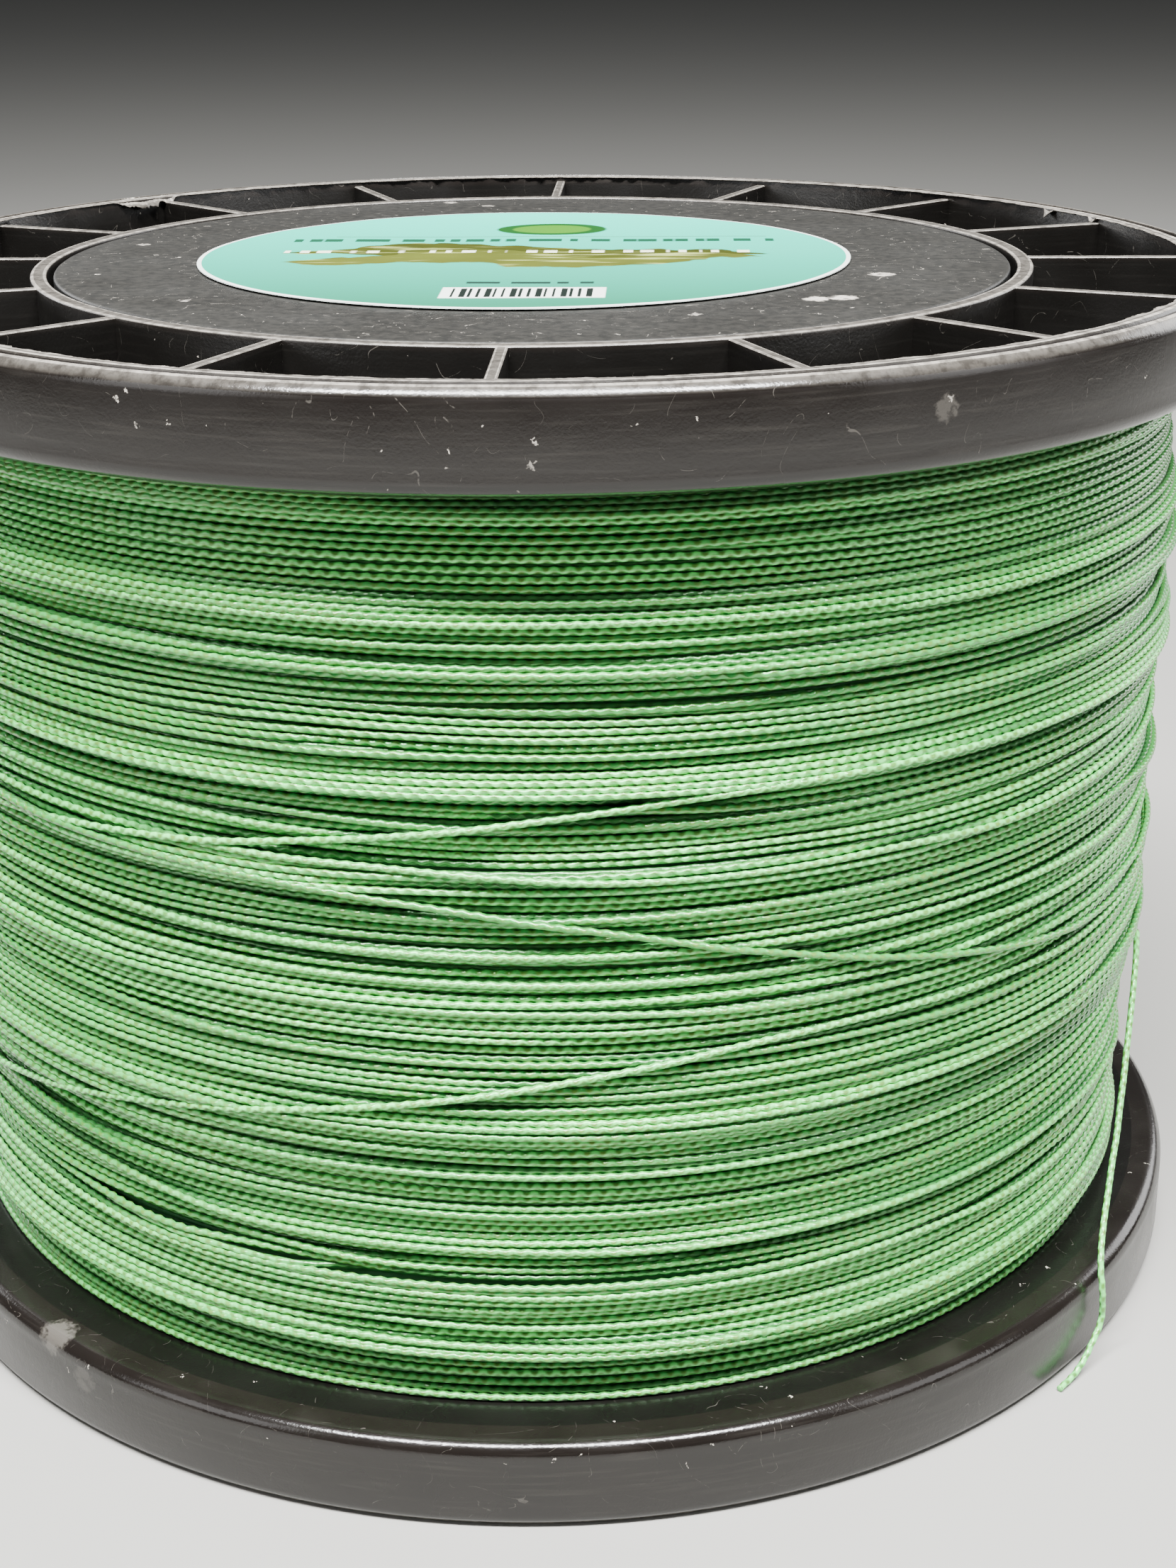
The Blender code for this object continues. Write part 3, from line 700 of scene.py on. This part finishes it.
# Painted shade: turns that lie under others, and the side of a turn that faces down and in, are painted
# darker
depth = add_node(tree, "Attribute", attribute_name="depth").outputs["Fac"]
round_it = add_node(tree, "Math", {0: weave.outputs["Y"], 1: math.tau}, operation="MULTIPLY")
round_it = add_node(tree, "Math", {0: round_it, 1: 0.93}, operation="SUBTRACT")
round_it = add_node(tree, "Math", {0: round_it}, operation="COSINE")
lower = add_node(tree, "MapRange", {0: round_it, 1: 0.30, 2: -0.25, 3: 0.0, 4: 0.6})
painted_shade = add_node(tree, "MapRange", {0: depth, 1: 0.05, 2: 0.75, 3: 0.0, 4: 0.85})
painted_shade = add_node(tree, "Math", {0: painted_shade, 1: lower}, operation="MAXIMUM")
dye_and_painted_shade = add_node(tree, "Mix", {0: painted_shade, 6: dye_and_painted_shade, 7: linear("#1b5024")}, data_type="RGBA")
fibres = add_node(tree, "Mapping", {"Vector": braid_map, "Scale": (2.0, 30.0, 1.0)})
fibres = add_node(tree, "TexNoise", {"Vector": fibres, "Scale": 1.0, "Detail": 2.0})
relief = add_node(tree, "Math", {0: fibres, 1: 0.35, 2: proud}, operation="MULTIPLY_ADD")
bump = add_node(tree, "Bump", {"Height": relief, "Distance": 0.00007, "Strength": 0.7})
feed(shader, {"Base Color": dye_and_painted_shade, "Normal": bump, "Coat Normal": bump})

# Route of the last three turns: azimuth in degrees, running on clockwise, and
# height. They rise and fall across the level turns and end at the loose end.
LAST_TURNS = (
    (-31, 0.0976), (-46, 0.0982), (-65, 0.0986), (-75, 0.0981), (-83, 0.0966), (-90, 0.0948),
    (-97, 0.0935), (-108, 0.0907), (-142, 0.0860), (-200, 0.0780), (-260, 0.0710), (-330, 0.0660),
    (-391, 0.0639), (-410, 0.0692), (-422, 0.0733), (-435, 0.0783), (-443, 0.0815), (-450, 0.0832),
    (-458, 0.0848), (-464, 0.0865), (-502, 0.0885), (-560, 0.0820), (-620, 0.0730), (-690, 0.0650),
    (-751, 0.0626), (-774, 0.0646), (-785, 0.0647), (-795, 0.0640), (-807, 0.0607), (-822, 0.0565),
    (-839, 0.0521), (-862, 0.0438), (-900, 0.0375), (-940, 0.0360), (-985, 0.0390), (-1030, 0.0445),
    (-1065, 0.0488), (-1080, 0.0499), (-1086, 0.0494), (-1091, 0.0480),
)
EXIT_RADIUS = 0.0935

under_turns = wind_layer(pitch=0.00093, loose=0.15, wander=0.0005, slip=0.0002,
                         start=PACK_LOW, stop=PACK_HIGH)
outer_turns = wind_layer(pitch=0.00105, loose=0.55, wander=0.0004, slip=0.0004,
                         start=PACK_HIGH, stop=PACK_LOW)
loose_turns = wind_layer(pitch=0.0037, loose=0.60, wander=0.0010, slip=0.0006,
                         start=PACK_LOW + 0.002, stop=0.0965)

route_turned = WIND_START - np.radians([spot for spot, _ in LAST_TURNS])
route_height = np.array([height for _, height in LAST_TURNS])
last_count = math.ceil(route_turned[-1] / math.tau)
turned_on = np.arange(-60, last_count * SETTLE_ANGLES + 60) * math.tau / SETTLE_ANGLES
lead_in = np.concatenate([[-1.0, 0.0], route_turned])
climb_on = np.concatenate([[loose_turns[-1][0][-1]] * 2, route_height])
smooth = np.interp(turned_on, lead_in, climb_on)
for _ in range(2):
    smooth = np.convolve(smooth, np.ones(7) / 7, "same")
smooth = smooth[60:-60].reshape(last_count, SETTLE_ANGLES)
for heights_of_turn in smooth:
    loose_turns.append(lay_turn(heights_of_turn, 0.00005))
# The radius runs out to the loose end over the last 20 degrees
end_at = route_turned[-1] - (last_count - 1) * math.tau
nearness = np.clip(1 - (end_at - turned_by) / math.radians(20), 0, 1)
last_height, last_radius = loose_turns[-1]
loose_turns[-1] = (last_height, last_radius + (EXIT_RADIUS - last_radius) * nearness * nearness)


def add_strands(name, turns, per_piece, spacing, sides, tooth, stop=0.0):
    """Draw a layer as a few pieces of so many turns each."""
    points, turned = strand_points(turns, spacing, sides, tooth, stop)
    # How far each turn lies under its neighbours, from 0 to 1, which the line's material paints as shade
    sunk = np.concatenate([seat_at(height) - radius - LINE_DIAMETER for height, radius in turns])
    sunk = np.clip(sunk / LINE_DIAMETER, 0, 1)
    depth_of = np.interp(turned, np.arange(len(sunk)) * math.tau / SETTLE_ANGLES, sunk)
    turn_of = turned / math.tau
    own = random.uniform(0, 1, len(turns) + 2)
    turn = turn_of.astype(int)
    nearly = np.clip((turn_of - turn - 0.75) / 0.25, 0, 1)
    shade_of = own[turn] * (1 - nearly) + own[turn + 1] * nearly
    picks = np.arange(len(turned)) * spacing / PICK
    for number in range(math.ceil(len(turns) / per_piece)):
        chosen = (turn_of >= number * per_piece) & (turn_of < (number + 1) * per_piece)
        piece = tube(f"{name}_{number + 1}", points[chosen], picks[chosen] - picks[chosen][0],
                     turn_of[chosen], shade_of[chosen], depth_of[chosen])
        finish_piece(piece, braided_line, "green_braid", "line_pack")


add_strands("inner_line", under_turns, 64, INNER_STEP, 5, 0.0)
add_strands("wound_line", outer_turns, 24, PICK / 2, 6, TOOTH)
add_strands("last_line", loose_turns, 26, PICK / 2, 6, TOOTH, math.tau - end_at)

# The rest of the line under the drawn turns, as one ring of packed winding.
core_outline = []
ridges = int((PACK_HIGH - PACK_LOW) / LINE_DIAMETER)
for i in range(ridges * 4 + 1):
    level = PACK_HIGH - i / (ridges * 4) * (PACK_HIGH - PACK_LOW)
    bulge = LINE_DIAMETER * (0.0, 0.26, 0.36, 0.26)[i % 4]
    core_outline.append((float(pack_radius(level)) - LAYER_SPAN - LINE_DIAMETER * 0.9 + bulge, level))
core_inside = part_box("barrel")[1].x + 0.0009
core_outline += [(core_inside, PACK_LOW - 0.0003), (core_inside, PACK_HIGH + 0.0003)]
core = settle_mesh(turned("packed_line_core", core_outline, 120), 60)
packed_line, tree, shader = start_material("packed_polyethylene_braid", Roughness=0.6, IOR=1.50)
place = add_node(tree, "TexCoord").outputs["Object"]
rows = add_node(tree, "Mapping", {"Vector": place, "Scale": (60, 60, 1 / LINE_DIAMETER)})
rows = add_node(tree, "TexNoise", {"Vector": rows, "Scale": 1.0, "Detail": 2.0})
# Painted shade: the packed winding is painted a darker green than the drawn turns
shadow = add_node(tree, "Mix", {0: rows, 6: linear("#1f5a30"), 7: linear("#3f8a50")}, data_type="RGBA")
feed(shader, {"Base Color": shadow})
finish_piece(core, packed_line, "green_braid", "line_pack")


# ---- Label -----------------------------------------------------------------
# Round sticker on the upper hub cap: coated paper, printed in aqua inks with
# plain bands, an oval badge and a white panel of bars, then die-cut so that a
# thin white edge shows.
label_low, label_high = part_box("top_label")
label_radius = (label_high.x - label_low.x) / 2
label_x = (label_high.x + label_low.x) / 2
label_top = label_high.z
mesh = bpy.data.meshes.new("hub_label")
work = bmesh.new()
rings = 40
spokes = 160
edge_drop = 0.00008
rows = []
for ring in range(1, rings + 1):
    share = ring / rings
    row = []
    for spoke in range(spokes):
        angle = math.tau * spoke / spokes
        x = label_radius * share * math.cos(angle)
        y = label_radius * share * math.sin(angle)
        ripple = 0.00003 * math.sin(x * 210 + y * 90) * math.sin(y * 170 - 1.0)
        fall = edge_drop if ring == rings else 0.0
        row.append(work.verts.new((label_x + x, y, label_top - 0.00004 + ripple - fall)))
    rows.append(row)
centre = work.verts.new((label_x, 0, label_top - 0.00004))
bottom = [work.verts.new((v.co.x, v.co.y, label_low.z)) for v in rows[-1]]
base = work.verts.new((label_x, 0, label_low.z))
for spoke in range(spokes):
    after = (spoke + 1) % spokes
    work.faces.new((centre, rows[0][spoke], rows[0][after]))
    work.faces.new((base, bottom[after], bottom[spoke]))
    work.faces.new((rows[-1][after], rows[-1][spoke], bottom[spoke], bottom[after]))
    for inner, outer in zip(rows[:-1], rows[1:]):
        work.faces.new((inner[spoke], outer[spoke], outer[after], inner[after]))
work.to_mesh(mesh)
work.free()
mesh.shade_smooth()
mesh.set_sharp_from_angle(angle=math.radians(40))
sticker = add_object("hub_label", mesh)

printed_paper, tree, shader = start_material("coated_label_paper", Roughness=0.34, IOR=1.48)
place = add_node(tree, "TexCoord").outputs["Object"]
spot = add_node(tree, "SeparateXYZ", {0: place})
x = add_node(tree, "Math", {0: spot.outputs["X"], 1: label_x}, operation="SUBTRACT")
y = spot.outputs["Y"]
warp = add_node(tree, "TexNoise", {"Vector": place, "Scale": 1 / 0.016, "Detail": 3.0})
away = add_node(tree, "MapRange", {0: y, 1: -0.045, 2: 0.045})
ink = add_node(tree, "Mix", {0: away, 6: linear("#1d7459"), 7: linear("#00d0b4")}, data_type="RGBA")
ink = ink


def box_mask(x_low, x_high, y_low, y_high, soft=0.0002):
    """1 inside a rectangle of the label, 0 outside."""
    mask = None
    for value, low, high in ((x, x_low, x_high), (y, y_low, y_high)):
        for edge, beyond in ((low, low + soft), (high, high - soft)):
            side = add_node(tree, "MapRange", {0: value, 1: edge, 2: beyond})
            mask = side if mask is None else add_node(
                tree, "Math", {0: mask, 1: side}, operation="MULTIPLY")
    return mask


def print_over(under, mask, colour):
    """Lay one ink over what is printed so far."""
    return add_node(tree, "Mix", {0: mask, 6: under, 7: colour}, data_type="RGBA")


# Water: plain olive and sand swells with ragged crests across the middle
taper = add_node(tree, "Math", {0: x, 1: x}, operation="MULTIPLY")
taper = add_node(tree, "Math", {0: taper, 1: 5.6}, operation="MULTIPLY")
streaks = add_node(tree, "Mapping", {"Vector": place, "Scale": (70, 520, 1)})
streaks = add_node(tree, "TexNoise", {"Vector": streaks, "Scale": 1.0, "Detail": 4.0})
gleam = add_node(tree, "MapRange", {0: streaks, 1: 0.55, 2: 0.66, 3: 0.0, 4: 0.75})
for frequency, tall, base, deep, colours in (
        (80.0, 0.0035, 0.0080, -0.0060, ("#1c2204", "#4a5014")),
        (130.0, 0.0024, 0.0010, -0.0120, ("#33380c", "#626a26"))):
    wave = add_node(tree, "Math", {0: x, 1: frequency}, operation="MULTIPLY")
    wave = add_node(tree, "Math", {0: wave}, operation="SINE")
    crest = add_node(tree, "Math", {0: wave, 1: tall, 2: y}, operation="MULTIPLY_ADD")
    crest = add_node(tree, "Math", {0: warp, 1: 0.018, 2: crest}, operation="MULTIPLY_ADD")
    over = add_node(tree, "Math", {0: crest, 1: taper}, operation="ADD")
    under = add_node(tree, "Math", {0: crest, 1: taper}, operation="SUBTRACT")
    upper = add_node(tree, "MapRange", {0: over, 1: base + 0.0094, 2: base + 0.0088})
    lower = add_node(tree, "MapRange", {0: under, 1: deep + 0.0070, 2: deep + 0.0100})
    body = add_node(tree, "Math", {0: upper, 1: lower}, operation="MULTIPLY")
    # Both swells fray into streaks where they thin out
    frayed = add_node(tree, "Math", {0: streaks, 1: 0.5, 2: body}, operation="MULTIPLY_ADD")
    body = add_node(tree, "MapRange", {0: frayed, 1: 0.66, 2: 0.86})
    tone = add_node(tree, "Mix", {0: warp, 6: linear(colours[0]), 7: linear(colours[1])}, data_type="RGBA")
    tone = print_over(tone, gleam, linear("#aab56c"))
    ink = print_over(ink, body, tone)
# Rows of plain dashes where a real label would carry words
for low, high, left, right, colour, cut in (
        (0.0125, 0.0155, -0.037, 0.037, "#0f4a34", 0.46),
        (0.0175, 0.0182, -0.030, 0.036, "#3d7f66", 0.0),
        (0.0010, 0.0036, -0.036, 0.033, "#e6ead0", 0.54),
        (-0.0278, -0.0260, -0.0065, 0.0110, "#1b3029", 0.40)):
    gaps = add_node(tree, "TexNoise", {"W": x, "Scale": 420.0, "Detail": 0.0}, noise_dimensions="1D")
    gaps = add_node(tree, "MapRange", {0: gaps, 1: cut - 0.02, 2: cut + 0.02})
    dashes = add_node(tree, "Math", {0: gaps, 1: box_mask(left, right, low, high)}, operation="MULTIPLY")
    ink = print_over(ink, dashes, linear(colour))
# Oval badge
badge = (label_x + 0.0028, 0.0262, label_top)
oval = add_node(tree, "VectorMath", {0: place, 1: badge}, operation="SUBTRACT")
oval = add_node(tree, "VectorMath", {0: oval, 1: (1 / 0.0088, 1 / 0.0066, 0)}, operation="MULTIPLY")
oval = add_node(tree, "VectorMath", {0: oval}, operation="LENGTH")
ink = print_over(ink, add_node(tree, "MapRange", {0: oval, 1: 1.0, 2: 0.94}), linear("#0f4a18"))
ink = print_over(ink, add_node(tree, "MapRange", {0: oval, 1: 0.72, 2: 0.66}), linear("#3f7a1c"))
# White panel with made-up bars
ink = print_over(ink, box_mask(-0.0093, 0.0128, -0.0398, -0.0308), linear("#e9efe9"))
for number in range(17):
    left = -0.0078 + number * 0.00112
    width = (0.0004, 0.0009, 0.0005, 0.0009)[(number * 7 + number // 3) % 4]
    ink = print_over(ink, box_mask(left, left + width, -0.0388, -0.0318, 0.00008), linear("#131b17"))
# White paper edge
rim = add_node(tree, "VectorMath", {0: place, 1: (label_x, 0, label_top)}, operation="SUBTRACT")
rim = add_node(tree, "VectorMath", {0: rim, 1: (1, 1, 0)}, operation="MULTIPLY")
rim = add_node(tree, "VectorMath", {0: rim}, operation="LENGTH")
edge = add_node(tree, "MapRange", {0: rim, 1: label_radius - 0.0007, 2: label_radius - 0.0006})
ink = print_over(ink, edge, linear("#dfe7e2"))
fibre = add_node(tree, "TexNoise", {"Vector": place, "Scale": 1 / 0.0006, "Detail": 2.0})
bump = add_node(tree, "Bump", {"Height": fibre, "Distance": 0.00002, "Strength": 0.3})
feed(shader, {"Base Color": ink, "Normal": bump})
finish_piece(sticker, printed_paper, "label_paper", "top_label")


# ---- Loose end -------------------------------------------------------------
# The line's free end comes off the pack at the right, hangs over the lower
# rim and ends, cut, on the table. It is the same 0.94 mm braid.
TAIL_POINTS = (
    (0.0918, -0.0178, 0.048), (0.0911, -0.022, 0.0464), (0.0903, -0.0258, 0.0441),
    (0.0896, -0.0288, 0.0418), (0.0889, -0.0316, 0.0391), (0.0881, -0.0347, 0.0362),
    (0.0873, -0.0379, 0.0333), (0.0864, -0.0412, 0.0303), (0.0856, -0.0443, 0.0275),
    (0.0846, -0.0474, 0.0246), (0.0837, -0.0505, 0.0217), (0.0828, -0.0535, 0.0188),
    (0.0821, -0.0564, 0.0161), (0.0818, -0.0588, 0.0137), (0.082, -0.0599, 0.0113),
    (0.0822, -0.0598, 0.0089), (0.0823, -0.0596, 0.0068), (0.0818, -0.0604, 0.0052),
    (0.0807, -0.0619, 0.0036), (0.0795, -0.0635, 0.0021), (0.0781, -0.0652, 0.001),
    (0.0764, -0.0672, 0.0006), (0.0753, -0.0685, 0.00055),
)
TAIL_SIDES = 12
TAIL_STEP = PICK / 8


def smooth_route(points, spacing):
    """Evenly spaced points on a smooth curve through the given ones."""
    fine = []
    last = len(points) - 1
    for i in range(last):
        before, here, there, after = (Vector(points[min(max(i + k, 0), last)]) for k in (-1, 0, 1, 2))
        for j in range(40):
            t = j / 40
            fine.append(0.5 * (2 * here + (there - before) * t
                               + (2 * before - 5 * here + 4 * there - after) * t * t
                               + (3 * here - 3 * there + after - before) * t * t * t))
    fine.append(Vector(points[last]))
    fine = np.array(fine)
    walked = np.concatenate([[0], np.cumsum(np.linalg.norm(np.diff(fine, axis=0), axis=1))])
    count = round(walked[-1] / spacing)
    stops = np.linspace(0, walked[-1], count + 1)
    return np.stack([np.interp(stops, walked, fine[:, k]) for k in range(3)], 1), walked[-1]


route, tail_length = smooth_route(TAIL_POINTS, TAIL_STEP)
along = np.gradient(route, axis=0)
along /= np.linalg.norm(along, axis=1)[:, None]
out = route * (1, 1, 0)
out /= np.linalg.norm(out, axis=1)[:, None]
out -= along * (out * along).sum(1)[:, None]
out /= np.linalg.norm(out, axis=1)[:, None]
across = np.cross(along, out)
pick_of = np.arange(len(route)) * TAIL_STEP / PICK
around = np.linspace(0, math.tau, TAIL_SIDES, endpoint=False)[None, :]
plait = np.sin(math.tau * pick_of[:, None] + 2 * around) * np.sin(math.tau * pick_of[:, None] - 2 * around)
thick = LINE_DIAMETER / 2 * (0.95 + 0.07 * plait)
sway = 0.00007 * np.sin(math.tau * pick_of)[:, None] * across
rings = (route + sway)[:, None, :] + thick[..., None] * (
    np.cos(around)[..., None] * out[:, None, :] + np.sin(around)[..., None] * across[:, None, :])
rings[:, :, 2] = np.maximum(rings[:, :, 2], 0.00004)
tail = tube("loose_line_end", rings, pick_of, pick_of * 0.999 / pick_of[-1], 0.9 + 0 * pick_of, 0 * pick_of)
finish_piece(tail, braided_line, "green_braid", "line_tail")


# ---- Studio ----------------------------------------------------------------
# A pale plain floor of matt paper, one long soft light overhead, and four weak
# soft ones round the spool, two in front and two behind.
LIGHTS_AIM = Vector((0, 0, 0.07))


def studio_light(name, place, size, power):
    """A soft light of (width, height), aimed at the spool."""
    lamp = bpy.data.lights.new(name, "AREA")
    lamp.shape = "RECTANGLE"
    lamp.size, lamp.size_y = size
    lamp.energy = power
    made = add_object(name, lamp)
    made.location = place
    made.rotation_euler = (LIGHTS_AIM - Vector(place)).to_track_quat("-Z", "Y").to_euler()


floor_mesh = bpy.data.meshes.new("studio_floor")
floor_mesh.from_pydata([(-30, -30, 0), (30, -30, 0), (30, 30, 0), (-30, 30, 0)], [], [(0, 1, 2, 3)])
floor = add_object("studio_floor", floor_mesh)
floor_paper, tree, shader = start_material("matt_studio_paper", Roughness=0.9)
feed(shader, {"Base Color": linear("#969591")})
floor_mesh.materials.append(floor_paper)

studio_light("overhead_softbox", (0.02, -0.43, 1.05), (1.00, 0.17), 92)
studio_light("front_left_softbox", (-0.80, -0.60, 0.50), (0.5, 0.5), 2.4)
studio_light("front_right_softbox", (0.90, -0.35, 0.50), (0.5, 0.5), 2.4)
studio_light("back_left_softbox", (-0.85, 0.65, 0.45), (0.5, 0.5), 5.0)
studio_light("back_right_softbox", (0.85, 0.65, 0.45), (0.5, 0.5), 5.0)
world = bpy.data.worlds.new("studio_air")
world.use_nodes = True
feed(world.node_tree.nodes["Background"], {"Color": linear("#dfe2e4"), "Strength": 0.12})
bpy.context.scene.world = world

camera_data = bpy.data.cameras.new("camera")
camera_data.sensor_fit = "VERTICAL"
camera_data.sensor_height = 36.0
camera_data.lens = 54.22
camera_data.clip_start = 0.01
camera = add_object("camera", camera_data)
CAMERA_PLACE = Vector((0.01919, -0.34978, 0.19787))
CAMERA_VIEW = Vector((-0.0314, 0.9342, -0.35536)).normalized()
CAMERA_UP = Vector((-0.00514, 0.35538, 0.93471))
side = CAMERA_VIEW.cross(CAMERA_UP).normalized()
upright = side.cross(CAMERA_VIEW)
turned_to = Matrix((side, upright, -CAMERA_VIEW)).transposed().to_4x4()
camera.matrix_world = Matrix.Translation(CAMERA_PLACE) @ turned_to
bpy.context.scene.camera = camera
